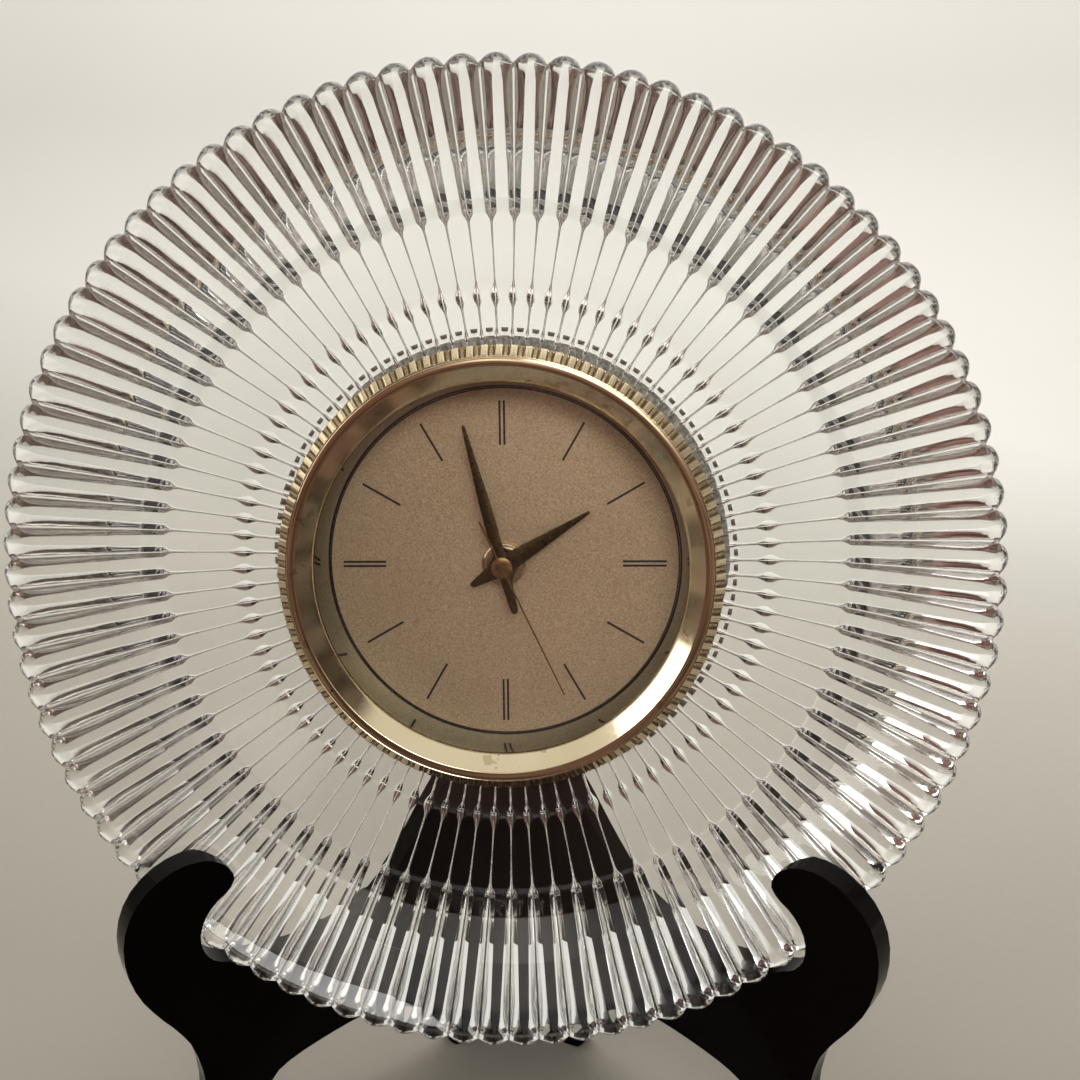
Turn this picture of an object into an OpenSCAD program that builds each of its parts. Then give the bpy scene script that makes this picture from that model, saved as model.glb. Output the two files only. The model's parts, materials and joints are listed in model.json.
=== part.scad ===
// Crystal plate clock on a folding two-board stand.
// Millimetres, +Z up, origin on the table under the middle of the clock.
// The clock itself is drawn about its own axis: x to the right, y down the
// dial and z away from the viewer, with z = 0 at the tips of the glass ribs.
// clock() then stands it up, leans it back and lifts it into the stand.

/* [Crystal plate] */
// Radius of the glass at the tips of its ribs
plate_r = 142; // [141:0.5:143]
// Number of rounded ribs round the plate
ribs = 96; // [72:12:96]
// How far the valleys between the ribs cut in at the rim
rib_depth = 4.1; // [2:0.1:4.5]
// Radius of the hole for the clock insert
hole_r = 59.2; // [59.1:0.1:59.6]
// Depth of the front crease behind the rib tips
crease_z = 6.7; // [6.4:0.1:8.5]
// Depth of the back of the plate at its hole
back_z = 40.5; // [40:0.1:40.5]

/* [Clock insert] */
// Outer radius of the gold bezel
bezel_r = 66.6; // [65:0.1:67]
// Depth of the dial behind the rib tips
dial_z = 31.9; // [31.9:0.1:32]
// Radius of the dial that can be seen
dial_r = 54.5; // [54:0.1:55]
// Width of each printed line on the dial
line_w = 0.65; // [0.3:0.05:0.8]

/* [Hands] */
// Length of the hour hand from the centre
hour_len = 31.5; // [24:0.5:34]
// Length of the minute hand from the centre
minute_len = 44.6; // [38:0.5:48]
// Length of the seconds hand from the centre
second_len = 43.9; // [38:0.5:48]
// Angle of the hour hand, clockwise from 12
hour_at = 58.1; // [0:0.1:360]
// Angle of the minute hand, clockwise from 12
minute_at = 345.3; // [0:0.1:360]
// Angle of the seconds hand, clockwise from 12
second_at = 154.7; // [0:0.1:360]

/* [Stand] */
// How far the clock leans back, in degrees
lean = 8; // [7.5:0.1:8.5]
// Angle of each board away from straight ahead
splay = 53; // [52.5:0.1:53.5]
// Thickness of each board
board_t = 8; // [6:0.5:8]
// Height of the clock's centre above the table
centre_h = 186; // [185:0.5:187]

/* [Movement] */
// Width and height of the movement case
case_w = 56; // [55:0.5:56]
// Depth of the movement case
case_d = 16; // [15.8:0.1:16]

/* [Hidden] */

$fn = 96;
e = 0.01;
hinge_y = 46;       // the boards' front faces meet this far behind the rib tips
base_y = -11.04;    // puts the origin under the middle of the whole object

// depths along the clock's axis
lens_z0 = 16.2; lens_z1 = 17.7;
cup_z1 = 45.5;
case_z = 33.3;
hour_z = 27.4; minute_z = 25.4; second_z = 23.6;

// gear train: tooth counts, modules and centres (x right, y down)
m1 = 0.2;
m_third = 10.2 / 54;
m_cannon = 0.3;
m_hour = 0.24;
T = [10.2 * cos(45), -10.2 * sin(45)];           // third wheel
I = [-8.4 * cos(45), -8.4 * sin(45)];            // intermediate wheel
Q = I + [-7.2 * cos(30), -7.2 * sin(30)];        // rotor
M = [7.2 * cos(30), 7.2 * sin(30)];              // motion wheel
K = M + [7.2 * cos(30), 7.2 * sin(30)];          // setting knob
run = 0.06;                                      // radial clearance of a running fit

gold = "#c9ae72"; steel = "#b9bcc0"; black = "#15151a"; ivory = "#e6dfc8";

module clock() { translate([0, base_y, centre_h]) rotate([-lean, 0, 0]) rotate([-90, 0, 0]) children(); }
module tube(r1, r0, z0, z1) { translate([0, 0, z0]) difference() { cylinder(r = r1, h = z1 - z0); translate([0, 0, -1]) cylinder(r = r0, h = z1 - z0 + 2); } }
module rod(r, z0, z1) { translate([0, 0, z0]) cylinder(r = r, h = z1 - z0); }
module at(p) { translate([p[0], p[1], 0]) children(); }

// ---------------------------------------------------------------- glass
// Stations of one rib's section, from the front edge of the hole, out over
// the rim and back to the rear edge: [crest r, crest z, valley r, valley z]
function stations() = let (g = rib_depth, s = plate_r / 142) [
    [hole_r, 16.4, hole_r, 16.4],
    [67.8, 15.9, 67.8, 15.9],
    [107 * s, 11.8, 107 * s, 11.8],
    [120 * s, crease_z, 120 * s, crease_z],
    [plate_r - 3.4, -2.8, plate_r - 6.6, -1.2],
    [plate_r, 0.6, plate_r - g, 1.4],
    [plate_r - 2.0, 5.2, plate_r - g - 1.6, 4.4],
    [122 * s, 17.8, 121.4 * s, 15.0],
    [105 * s, 30, 105 * s, 28.7],
    [83 * s, 38.2, 83 * s, 37.1],
    [69.5, back_z - 0.1, 69.5, back_z - 0.1],
    [hole_r, back_z, hole_r, back_z]];

// how far each of a rib's four columns stands up from the valley to the crest
function lift(k) = [0, 0.86, 1, 0.86][k];

function glass_pt(s, i) = let (f = lift(i % 4), r = s[2] + (s[0] - s[2]) * f, z = s[3] + (s[1] - s[3]) * f,
    a = -90 - 2.72 + (i - 2) * 90 / ribs) [r * cos(a), r * sin(a), z];

module crystal_plate() {
    st = stations(); n = len(st); c = ribs * 4;
    pts = [for (i = [0:c - 1]) for (s = st) glass_pt(s, i)];
    faces = [for (i = [0:c - 1]) for (j = [0:n - 1]) let (i2 = (i + 1) % c, j2 = (j + 1) % n)
        each [[i * n + j, i2 * n + j, i2 * n + j2], [i * n + j, i2 * n + j2, i * n + j2]]];
    color([0.86, 0.9, 0.88, 0.45]) clock() polyhedron(points = pts, faces = faces, convexity = 10);
}

// ---------------------------------------------------------------- insert
module bezel() {
    color(gold) clock() rotate_extrude($fn = 180) polygon([[bezel_r, 15.4], [bezel_r, 15.1], [63.35, 11.85], [63.1, 12.0],
        [62.85, 11.8], [62.7, 11.35], [61.7, 11.25], [60.9, 11.25], [60.5, 11.5], [56.0, 15.7], [56.0, 16.0], [58.0, 16.0], [58.0, 15.4]]);
}
module bezel_gasket() { color("#2a2a2a") clock() tube(66, 59.6, 15.42, 15.85); }
module dial_glass() { color([0.9, 0.95, 0.95, 0.3]) clock() rod(57.1, lens_z0, lens_z1); }
module reflector_wall() {
    color("#d8d9da") clock() rotate_extrude($fn = 180) polygon([[56.0, lens_z1 + 0.05], [57.1, lens_z1 + 0.05],
        [57.1, dial_z - 0.05], [dial_r, dial_z - 0.05]]);
}
module dial_plate() {
    color("#b49a80") clock() difference() { rod(57.1, dial_z, dial_z + 0.6); rod(4.1, dial_z - 1, dial_z + 2); }
}
module mark(a, off, r0, r1) { rotate(a) translate([off - line_w / 2, -r1, dial_z - 0.1]) cube([line_w, r1 - r0, 0.09]); }
module hour_markers() {
    color("#101010") clock() {
        for (i = [0:11]) if (i % 3 == 0) { mark(i * 30, -0.68, 36.9, 50.4); mark(i * 30, 0.68, 36.9, 50.4); }
            else mark(i * 30, 0, 37.0, 50.3);
        tube(dial_r - 0.02, dial_r - 0.4, dial_z - 0.1, dial_z - 0.01);
    }
}
module insert_cup() {
    color(black) clock() difference() {
        rod(58.8, 16.05, cup_z1);
        rod(57.2, 15, dial_z + 0.65);
        rod(55.0, 20, cup_z1 - 2);
        translate([-28.3, -28.3, 40]) cube([56.6, 56.6, 10]);
        for (i = [0:3]) rotate(45 + i * 90) translate([51, 0, 0]) rod(1.1, 40, 50);
    }
}
module clamp_gasket() { color("#4a4845") clock() tube(70.6, 59.6, back_z + 0.02, back_z + 0.5); }
module clamp_ring() {
    color("#1c1c20") clock() difference() {
        rotate_extrude($fn = 180) polygon([[60.0, back_z + 0.52], [70.2, back_z + 0.52], [70.2, back_z + 1.4], [62.5, back_z + 3.2],
            [62, 46.6], [61.2, 47.4], [47, 47.4], [47, cup_z1 + 0.02], [60.0, cup_z1 + 0.02]]);
        for (i = [0:3]) rotate(45 + i * 90) translate([51, 0, 0]) rod(1.6, 40, 50);
    }
}
module clamp_screws() {
    color(steel) clock() for (i = [0:3]) rotate(45 + i * 90) translate([51, 0, 0]) difference() {
        union() { rod(1.04, 43.7, 47.6); rod(2.7, 47.43, 48.9); }
        translate([-3, -0.35, 48.3]) cube([6, 0.7, 1]);
        translate([-0.35, -3, 48.3]) cube([0.7, 6, 1]);
    }
}

// ---------------------------------------------------------------- movement
module block(w, h, r, z0, z1) {     // square block with round corners
    translate([0, 0, z0]) linear_extrude(z1 - z0) union() {
        square([w - 2 * r, h], center = true); square([w, h - 2 * r], center = true);
        for (x = [-1, 1]) for (y = [-1, 1]) translate([x * (w / 2 - r), y * (h / 2 - r)]) circle(r, $fn = 32);
    }
}
cell_y = 19.9;      // middle of the battery bay
corner = [[-25, -25], [25, -25], [-25, 9.6], [25, 9.6]];
module movement_case() {
    z1 = case_z + case_d - 1.5;
    color("#202024") clock() difference() {
        union() {
            difference() {
                block(case_w, case_w, 2.5, case_z, z1);
                translate([-26.5, -26.5, case_z + 1.5]) cube([53, 37.9, 20]);       // gear space
                translate([-26.5, 12.4, case_z + 0.8]) cube([53, 14.9, 20]);        // battery bay
            }
            for (c = corner) at(c) rod(2.2, case_z + 1, z1);                        // screw posts
            at(M) rod(2.0, case_z + 1, 35.0);                                       // foot of the motion wheel's post
            at(M) rod(0.6, case_z + 1, 37.9);
            at(T) rod(1.6, case_z + 1, 37.6);                                       // third wheel's bearing
            at(K) rod(2.2, case_z + 1, 35.6);                                       // knob's bearing
            for (p = [[-24, -8], [-24, 4], [-8.5, 8.6]]) at(p) rod(1.5, case_z + 1, 39.95); // bridge posts
            for (p = [[3, -25], [23.5, -14]]) at(p) rod(1.3, case_z + 1, 43.65);    // board posts
            rod(4.0, 29.9, case_z + 1);                                             // threaded bush
            rod(5.2, case_z + 0.5, 34.9);
        }
        rod(2.2 + run, 25, 36);
        at(T) rod(0.4 + run, 36.0, 38);
        at(K) rod(0.8 + run, 34.2, 36);
        for (c = corner) at(c) rod(0.8, 42, 50);
        for (a = [0:45:315]) translate([0, 0, 0]) rotate(a) translate([3.85, -0.2, 29]) cube([0.5, 0.4, 3.2]);
    }
}
module movement_cover() {
    z0 = case_z + case_d - 1.48; z1 = case_z + case_d;
    color("#26262b") clock() difference() {
        union() {
            translate([-28, -28, z0]) cube([56, 39.9, z1 - z0]);
            for (p = [Q, I]) at(p) rod(1.2, 46.9, z0 + 0.5);
            at(T) rod(1.2, 43.2, z0 + 0.5);
            rod(1.2, 45.4, z0 + 0.5);
            at(K) rod(1.8, 44.0, z0 + 0.5);
        }
        for (p = [Q, I]) at(p) rod(0.4 + run, 46, 48.2);
        at(T) rod(0.4 + run, 43, 46);
        rod(0.4 + run, 44, 48.2);
        at(K) rod(1.0 + run, 40, 60);
        for (c = corner) at(c) rod(1.15, 40, 60);
    }
}
module cover_screws() {
    color(steel) clock() for (c = corner) at(c) difference() {
        union() { rod(0.75, 43, 49.6); rod(1.9, 49.33, 50.5); }
        translate([-2.5, -0.25, 50.0]) cube([5, 0.5, 1]); translate([-0.25, -2.5, 50.0]) cube([0.5, 5, 1]);
    }
}
// bearing plate for the rotor and the intermediate wheel, above the centre wheel
module gear_bridge() {
    color(ivory) clock() difference() {
        translate([-26, -14, 40.0]) cube([24.2, 24.4, 1.2]);
        at(T) rod(9.6, 39, 43);
        at([-25, 9.6]) rod(2.5, 39, 43);
        rod(2.0, 39, 43);
        at(I) rod(0.4 + run, 39, 43);
        at(Q) rod(0.4 + run, 39, 43);
    }
}
module dial_washer() { color("#3a3a3a") clock() tube(8, 4.15, dial_z + 0.62, case_z - 0.02); }
module centre_nut() {
    color(gold) clock() rotate_extrude($fn = 72) polygon([[4.05, 29.9], [5.4, 29.9], [6.5, 30.3], [7.0, 31.0], [7.0, dial_z - 0.02], [4.05, dial_z - 0.02]]);
}
module circuit_board() {
    color("#2f6b3c") clock() difference() {
        translate([-0.5, -26.3, 43.7]) cube([23.3, 8.6, 0.8]);
        translate([23.5, -14, 0]) rod(3.4, 40, 50);
        at([-25, -25]) rod(2.6, 40, 50);
        at([25, -25]) rod(2.6, 40, 50);
    }
}
module driver_chip() { color("#111111") clock() translate([8.5, -24.2, 44.52]) cube([4.2, 4.2, 0.9]); }
module quartz_crystal() {
    color("#c8cacc") clock() translate([15.4, -22, 45.55]) rotate([0, 90, 0]) cylinder(r = 1.0, h = 6);
}
module stator() {
    color("#9a9da1") clock() difference() {
        union() {
            translate([Q[0] - 6.2, Q[1] - 4.6, 44.9]) cube([11.4, 9.2, 1.0]);
            translate([Q[0] - 6.2, -23.2, 44.9]) cube([1.8, 14, 1.0]);
            translate([Q[0] + 3.4, -23.2, 44.9]) cube([1.8, 14, 1.0]);
            translate([Q[0] - 6.2, -23.2, 44.9]) cube([11.4, 2.2, 1.0]);     // core through the coil
        }
        at(Q) rod(3.2, 40, 50);
    }
}
module coil_bobbin() {
    color("#2b5a8c") clock() translate([Q[0] - 4.35, -22.1, 45.4]) rotate([0, 90, 0]) difference() {
        union() { cylinder(r = 1.45, h = 7.7); for (x = [0, 7]) translate([0, 0, x]) cylinder(r = 2.3, h = 0.7); }
        translate([-0.52, -1.12, -1]) cube([1.04, 2.24, 10]);
    }
}
module coil_winding() {
    color("#b5622d") clock() translate([Q[0] - 3.62, -22.1, 45.4]) rotate([0, 90, 0]) difference() {
        cylinder(r = 2.1, h = 6.24); translate([0, 0, -1]) cylinder(r = 1.47, h = 9);
    }
}
module battery() {
    color("#b9975a") clock() translate([-24.6, cell_y, case_z + 8.2]) rotate([0, 90, 0]) {
        cylinder(r = 7.1, h = 49.2); cylinder(r = 2.7, h = 50.45);
    }
}
module contact(x) {
    color(steel) clock() translate([x, 13.4, case_z + 1.4]) cube([0.5, 13, 12.6]);
}
module contact_plus() { contact(25.9); }
module contact_minus() {
    contact(-26.4);
    color(steel) clock() translate([-25.95, cell_y, case_z + 8.2]) rotate([0, 90, 0]) difference() { cylinder(r = 4, h = 1.3); translate([0, 0, -1]) cylinder(r = 3.2, h = 3); }
}

// ---------------------------------------------------------------- gears
// teeth with four corners each: tip and root widths are shares of half a pitch
function gear_pts(z, m, wt, wr) = [for (i = [0:z - 1]) for (c = [[-1.15, -wr], [0.65, -wt], [0.65, wt], [-1.15, wr]])
    let (r = m * z / 2 + c[0] * m, a = 360 / z * i + c[1] * 180 / z) [r * cos(a), r * sin(a)]];
module gear(z, m, z0, z1) { translate([0, 0, z0]) linear_extrude(z1 - z0) polygon(gear_pts(z, m, 0.16, z > 20 ? 0.52 : 0.44)); }

// each pinion has a tooth, and each wheel a gap, on the line between their centres
module rotor() {
    color("#4a4a52") clock() at(Q) {
        rotate(30) gear(12, m1, 43.4, 44.7);
        rod(0.7, 41.3, 45.2);
        rod(0.4, 39.6, 48.0);
        rod(2.7, 44.95, 46.6);
    }
}
module intermediate_wheel() {
    color(ivory) clock() at(I) {
        rotate(30 + 180 + 180 / 60) gear(60, m1, 43.6, 44.4);
        rotate(45) gear(12, m1, 41.5, 43.65);
        rod(0.4, 39.6, 48.0); rod(0.75, 41.3, 46.7);
    }
}
module second_wheel() {
    color(ivory) clock() {
        rotate(225 + 180 / 72) gear(72, m1, 42.0, 42.8);
        rotate(-45) gear(12, m1, 40.2, 42.05);
        rod(0.85, 42, 45.2);
        rod(0.55, second_z + 0.05, 42); rod(0.4, 42, 48.0);
    }
}
module third_wheel() {
    color(ivory) clock() at(T) {
        rotate(135 + 180 / 90) gear(90, m1, 40.4, 41.2);
        rotate(135) gear(12, m_third, 38.5, 40.45);
        rod(0.7, 37.8, 43.0);
        rod(0.4, 36.2, 44.8);
    }
}
module centre_wheel() {
    color(ivory) clock() difference() {
        union() { rotate(-45 + 180 / 96) gear(96, m_third, 38.8, 39.6); rod(2.4, 38.3, 39.7); }
        rod(1.35 + run, 37, 41);
    }
}
module minute_arbor() {
    color(gold) clock() difference() {
        union() {
            rod(1.35, minute_z + 0.02, 39.95);
            rotate(30) gear(12, m_cannon, 36.7, 37.7);
            rod(1.75, 37.7, 38.2);
        }
        rod(0.55 + run, 20, 45);
    }
}
module motion_wheel() {
    color(ivory) clock() at(M) difference() {
        union() {
            rotate(210 + 180 / 36) gear(36, m_cannon, 36.75, 37.6);
            rotate(210) gear(12, m_hour, 35.2, 36.8);
        }
        rod(0.6 + run, 30, 40);
    }
}
module hour_wheel() {
    color(ivory) clock() difference() {
        union() { rotate(30 + 180 / 48) gear(48, m_hour, 35.3, 36.1); rod(2.2, hour_z + 0.02, 36.5); }
        rod(1.35 + run, 20, 40);
    }
}
module setting_knob() {
    color("#e9e6de") clock() at(K) {
        rotate(210) gear(12, m_cannon, 36.6, 37.8);
        rod(0.8, 34.5, 37); rod(1.0, 37.7, 50);
        difference() { rod(4.3, 49.8, 52.2); for (a = [0:20:340]) rotate(a) translate([4.7, 0, 0]) rod(0.6, 49, 53); }
    }
}

// ---------------------------------------------------------------- hands
// a blade from the tail to the tip: width wt at the tip, wm at the distance m,
// wh at the hub and wd at the tail
module blade(len, tail, wt, m, wm, wh, wd, z0, z1) {
    translate([0, 0, z0]) linear_extrude(z1 - z0) polygon([[-wt / 2, -len], [wt / 2, -len], [wm / 2, -m], [wh / 2, -1], [wh / 2, 1],
        [wd / 2, tail], [-wd / 2, tail], [-wh / 2, 1], [-wh / 2, -1], [-wm / 2, -m]]);
}
module hour_hand() {
    color("#6b5130") clock() rotate(hour_at) difference() {
        union() { blade(hour_len, 11.8, 0.9, 4, 5.6, 5.6, 1.9, hour_z, hour_z + 0.45); rod(3.3, hour_z, hour_z + 0.7); }
        rod(2.2 - e, 20, hour_z + 0.8);
    }
}
module minute_hand() {
    color("#6b5130") clock() rotate(minute_at) difference() {
        union() { blade(minute_len, 15.1, 1.0, 20, 3.5, 3.6, 2.1, minute_z, minute_z + 0.45); rod(2.6, minute_z, minute_z + 0.7); }
        rod(1.35 - e, 20, minute_z + 0.8);
    }
}
module second_hand() {
    color(gold) clock() rotate(second_at) {
        difference() {
            union() {
                blade(second_len, 15.8, 0.35, 6, 0.6, 0.7, 0.6, second_z, second_z + 0.3);
                rod(3.3, second_z - 0.3, second_z + 0.12);
                rod(1.3, second_z - 0.3, second_z + 0.6);
            }
            rod(0.55, second_z + 0.05, second_z + 2);
        }
    }
}

// ---------------------------------------------------------------- stand
// A board's outline in its own plane: u out from the hinge, v up from the table
outline = [[1, 0], [22, 0], [29, 2], [31, 10], [35, 21], [44, 29.5], [54, 31.5], [64, 31], [75, 29.5], [86, 27.2], [93, 24],
    [96, 17], [96.5, 8], [97, 2], [99, 0], [115, 0], [118, 1.5], [117, 9], [114.5, 22], [113.8, 33], [116, 46], [120, 54], [125, 61.5],
    [129.5, 70], [132, 80], [131.6, 90], [128, 98.5], [121.5, 104.5], [113.5, 107.5], [106, 107], [100.5, 103.2], [98.2, 98.2],
    [100.5, 94.6], [105.5, 91.6], [109.2, 87], [110.6, 81.5], [109.6, 76], [106.5, 72.3], [102, 70.4], [96, 69], [86, 67.5], [74, 67.5],
    [62, 70.5], [52, 76], [46, 81.6], [37, 93], [30, 103], [24, 110.5], [19, 114], [13, 115.5], [1, 115.5]];
// one round of corner cutting rounds the outline, and leaves its straight root and feet straight
function smooth(p) = [for (i = [0:len(p) - 1]) let (a = p[i], b = p[(i + 1) % len(p)])
    each (a[0] == 1 && b[0] == 1) || (a[1] == 0 && b[1] == 0) ? [a, b] : [a * 0.75 + b * 0.25, a * 0.25 + b * 0.75]];
pin_y = hinge_y + 4;
levels = [3, 25.4, 47.8, 70.2, 92.6];
// room for the rim of the plate where it sits in the notch
module rim_room() {
    clock() rotate_extrude($fn = 180) polygon([[100, 5], [120, -1], [137, -3.7], [140.5, -3.6], [142.6, -1.6], [142.7, 2.5], [141, 6.2], [122, 20.5], [100, 34]]);
}
// side = 1 is the right board, side = -1 the left one
module board(side) {
    own = side == 1 ? [1, 3] : [0, 2, 4];
    other = side == 1 ? [0, 2, 4] : [1, 3];
    color(black) difference() {
        union() {
            translate([0, base_y, 0]) mirror([side == 1 ? 0 : 1, 0, 0]) translate([0, hinge_y, 0]) rotate([0, 0, splay - 90]) rotate([90, 0, 0])
                translate([0, 0, -board_t]) linear_extrude(board_t) polygon(smooth(outline));
            for (k = own) translate([0, base_y + pin_y, levels[k]]) cylinder(r = 4.8, h = 22);
        }
        translate([0, base_y + pin_y, -1]) cylinder(r = 1.65, h = 130);
        for (k = other) translate([0, base_y + pin_y, levels[k] - 0.4]) cylinder(r = 5.2, h = 22.8);
        translate([side == 1 ? -20.6 : 0.6, base_y, -1]) for (k = other) translate([0, 0, levels[k] + 0.6]) cube([20, hinge_y + 3, 22.8]);
        rim_room();
    }
}
module stand_left() { board(-1); }
module stand_right() { board(1); }
module stand_pin() {
    color(steel) translate([0, base_y + pin_y, 1]) { cylinder(r = 1.6, h = 115); translate([0, 0, 114.2]) cylinder(r = 2.4, h = 1.2); }
}

crystal_plate();
bezel();
bezel_gasket();
dial_glass();
reflector_wall();
dial_plate();
hour_markers();
insert_cup();
clamp_gasket();
clamp_ring();
clamp_screws();
movement_case();
movement_cover();
cover_screws();
gear_bridge();
dial_washer();
centre_nut();
circuit_board();
driver_chip();
quartz_crystal();
stator();
coil_bobbin();
coil_winding();
battery();
contact_plus();
contact_minus();
rotor();
intermediate_wheel();
third_wheel();
centre_wheel();
second_wheel();
second_hand();
minute_arbor();
minute_hand();
motion_wheel();
hour_wheel();
hour_hand();
setting_knob();
stand_left();
stand_right();
stand_pin();
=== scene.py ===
import math

import bmesh
import bpy
import numpy as np
from mathutils import Matrix, Vector
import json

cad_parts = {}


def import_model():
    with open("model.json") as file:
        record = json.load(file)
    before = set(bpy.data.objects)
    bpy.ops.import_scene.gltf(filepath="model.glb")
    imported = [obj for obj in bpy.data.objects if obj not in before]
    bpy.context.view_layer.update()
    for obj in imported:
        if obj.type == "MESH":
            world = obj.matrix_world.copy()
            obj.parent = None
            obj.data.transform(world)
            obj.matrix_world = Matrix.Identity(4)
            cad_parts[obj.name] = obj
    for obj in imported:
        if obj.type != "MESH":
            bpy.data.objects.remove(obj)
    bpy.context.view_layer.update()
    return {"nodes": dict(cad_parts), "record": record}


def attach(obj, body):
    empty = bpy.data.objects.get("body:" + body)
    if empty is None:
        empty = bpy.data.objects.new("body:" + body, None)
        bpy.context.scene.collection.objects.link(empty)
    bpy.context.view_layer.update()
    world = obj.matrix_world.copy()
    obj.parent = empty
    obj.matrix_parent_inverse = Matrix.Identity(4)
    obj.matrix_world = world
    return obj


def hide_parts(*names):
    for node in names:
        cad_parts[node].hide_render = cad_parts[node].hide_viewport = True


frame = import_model()
NODES = frame["nodes"]

# ---------------------------------------------------------------- frame of the clock
# Millimetres about the clock's own axis: x right, y down the dial, z away from
# the viewer, z = 0 at the rib tips. place() leans and lifts it, in metres.
BASE_Y, CENTRE_H, LEAN = -11.04, 186.0, math.radians(8)
CL, SL = math.cos(LEAN), math.sin(LEAN)


def place(p):
    p = np.asarray(p, float)
    x, y, z = p[..., 0], p[..., 1], p[..., 2]
    Y, Z = z, -y
    return np.stack([x, BASE_Y + Y * CL + Z * SL, CENTRE_H - Y * SL + Z * CL], -1) / 1000


def direction(v):
    x, y, z = v
    Y, Z = z, -y
    return Vector((x, Y * CL + Z * SL, -Y * SL + Z * CL)).normalized()


# ---------------------------------------------------------------- camera, solved from the rim's 96 rib tips
def rot(ax, deg):
    c, s = math.cos(math.radians(deg)), math.sin(math.radians(deg))
    return {"x": np.array([[1, 0, 0], [0, c, -s], [0, s, c]]),
            "y": np.array([[c, 0, s], [0, 1, 0], [-s, 0, c]]),
            "z": np.array([[c, -s, 0], [s, c, 0], [0, 0, 1]])}[ax]


CR = rot("x", 8.20) @ rot("y", 2.77) @ rot("z", -0.56)
CT = np.array([-0.0896, 0.0834, 2.0945])
eye = place(-CR.T @ CT * 142.0)
right, down, ahead = (direction(CR[i]) for i in range(3))
cam_data = bpy.data.cameras.new("camera")
cam_data.sensor_width = 36.0
cam_data.lens = 1055.1 / 1080 * 36.0
cam_data.clip_start, cam_data.clip_end = 0.01, 30
camera = bpy.data.objects.new("camera", cam_data)
bpy.context.scene.collection.objects.link(camera)
m = Matrix((right, -down, -ahead)).transposed().to_4x4()
m.translation = Vector(eye)
camera.matrix_world = m
bpy.context.scene.camera = camera


# ---------------------------------------------------------------- helpers for meshes
def new_object(name, verts, faces, smooth=True):
    me = bpy.data.meshes.new(name)
    me.from_pydata([tuple(v) for v in verts], [], [tuple(int(i) for i in f) for f in faces])
    me.update()
    o = bpy.data.objects.new(name, me)
    bpy.context.scene.collection.objects.link(o)
    bm = bmesh.new()
    bm.from_mesh(me)
    bmesh.ops.recalc_face_normals(bm, faces=bm.faces)
    for f in bm.faces:
        f.smooth = smooth
    bm.to_mesh(me)
    bm.free()
    return o


def torus_grid(name, pts):
    """pts[column, station, 3] in the clock's millimetres, closed both ways."""
    c, n, _ = pts.shape
    idx = np.arange(c * n).reshape(c, n)
    a, b = idx, np.roll(idx, -1, 0)
    faces = np.stack([a, b, np.roll(b, -1, 1), np.roll(a, -1, 1)], -1).reshape(-1, 4)
    return new_object(name, place(pts.reshape(-1, 3)), faces)


def fillet(profile, radius=0.15, steps=3):
    """Rounds each corner of a closed [r, z] profile with a small arc, so that highlights run along it."""
    out, n = [], len(profile)
    for i in range(n):
        p = np.array(profile[i][:2], float)
        a = np.array(profile[i - 1][:2], float) - p
        b = np.array(profile[(i + 1) % n][:2], float) - p
        la, lb = np.linalg.norm(a), np.linalg.norm(b)
        rad = profile[i][2] if len(profile[i]) > 2 else radius
        d = min(rad, la * 0.42, lb * 0.42)
        a, b = p + a / la * d, p + b / lb * d
        for k in range(steps + 1):
            t = k / steps
            out.append((1 - t) ** 2 * a + 2 * t * (1 - t) * p + t * t * b)
    return np.array(out)


def lathe(name, profile, columns=256):
    a = np.arange(columns) * 2 * math.pi / columns
    pts = np.stack([profile[None, :, 0] * np.cos(a)[:, None], profile[None, :, 0] * np.sin(a)[:, None],
                    np.repeat(profile[None, :, 1], columns, 0)], -1)
    return torus_grid(name, pts)


# ---------------------------------------------------------------- helpers for materials
def material(name):
    mat = bpy.data.materials.new(name)
    mat.use_nodes = True
    nt = mat.node_tree
    return mat, nt, nt.nodes["Principled BSDF"]


def add(nt, kind, **values):
    n = nt.nodes.new(kind)
    for k, v in values.items():
        if k in n.inputs.keys():
            n.inputs[k].default_value = v
        else:
            setattr(n, k, v)
    return n


def coords(nt, scale=1.0, stretch=(1, 1, 1)):
    tc = add(nt, "ShaderNodeTexCoord")
    mp = add(nt, "ShaderNodeMapping")
    mp.inputs["Scale"].default_value = [s * scale for s in stretch]
    nt.links.new(tc.outputs["Object"], mp.inputs["Vector"])
    return mp.outputs["Vector"]


def noise(nt, scale, detail=3.0, rough=0.5, stretch=(1, 1, 1)):
    n = add(nt, "ShaderNodeTexNoise", Scale=scale, Detail=detail, Roughness=rough)
    nt.links.new(coords(nt, 1.0, stretch), n.inputs["Vector"])
    return n.outputs["Fac"]


def ramp(nt, fac, *stops):
    r = add(nt, "ShaderNodeValToRGB")
    e = r.color_ramp.elements
    while len(e) < len(stops):
        e.new(0.5)
    for el, (p, c) in zip(e, stops):
        el.position = p
        el.color = (*c, 1) if len(c) == 3 else c
    nt.links.new(fac, r.inputs["Fac"])
    return r.outputs["Color"]


def span(nt, fac, lo, hi, a=0.3, b=0.7):
    mr = add(nt, "ShaderNodeMapRange")
    mr.inputs["From Min"].default_value, mr.inputs["From Max"].default_value = a, b
    mr.inputs["To Min"].default_value, mr.inputs["To Max"].default_value = lo, hi
    nt.links.new(fac, mr.inputs["Value"])
    return mr.outputs["Result"]


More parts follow.
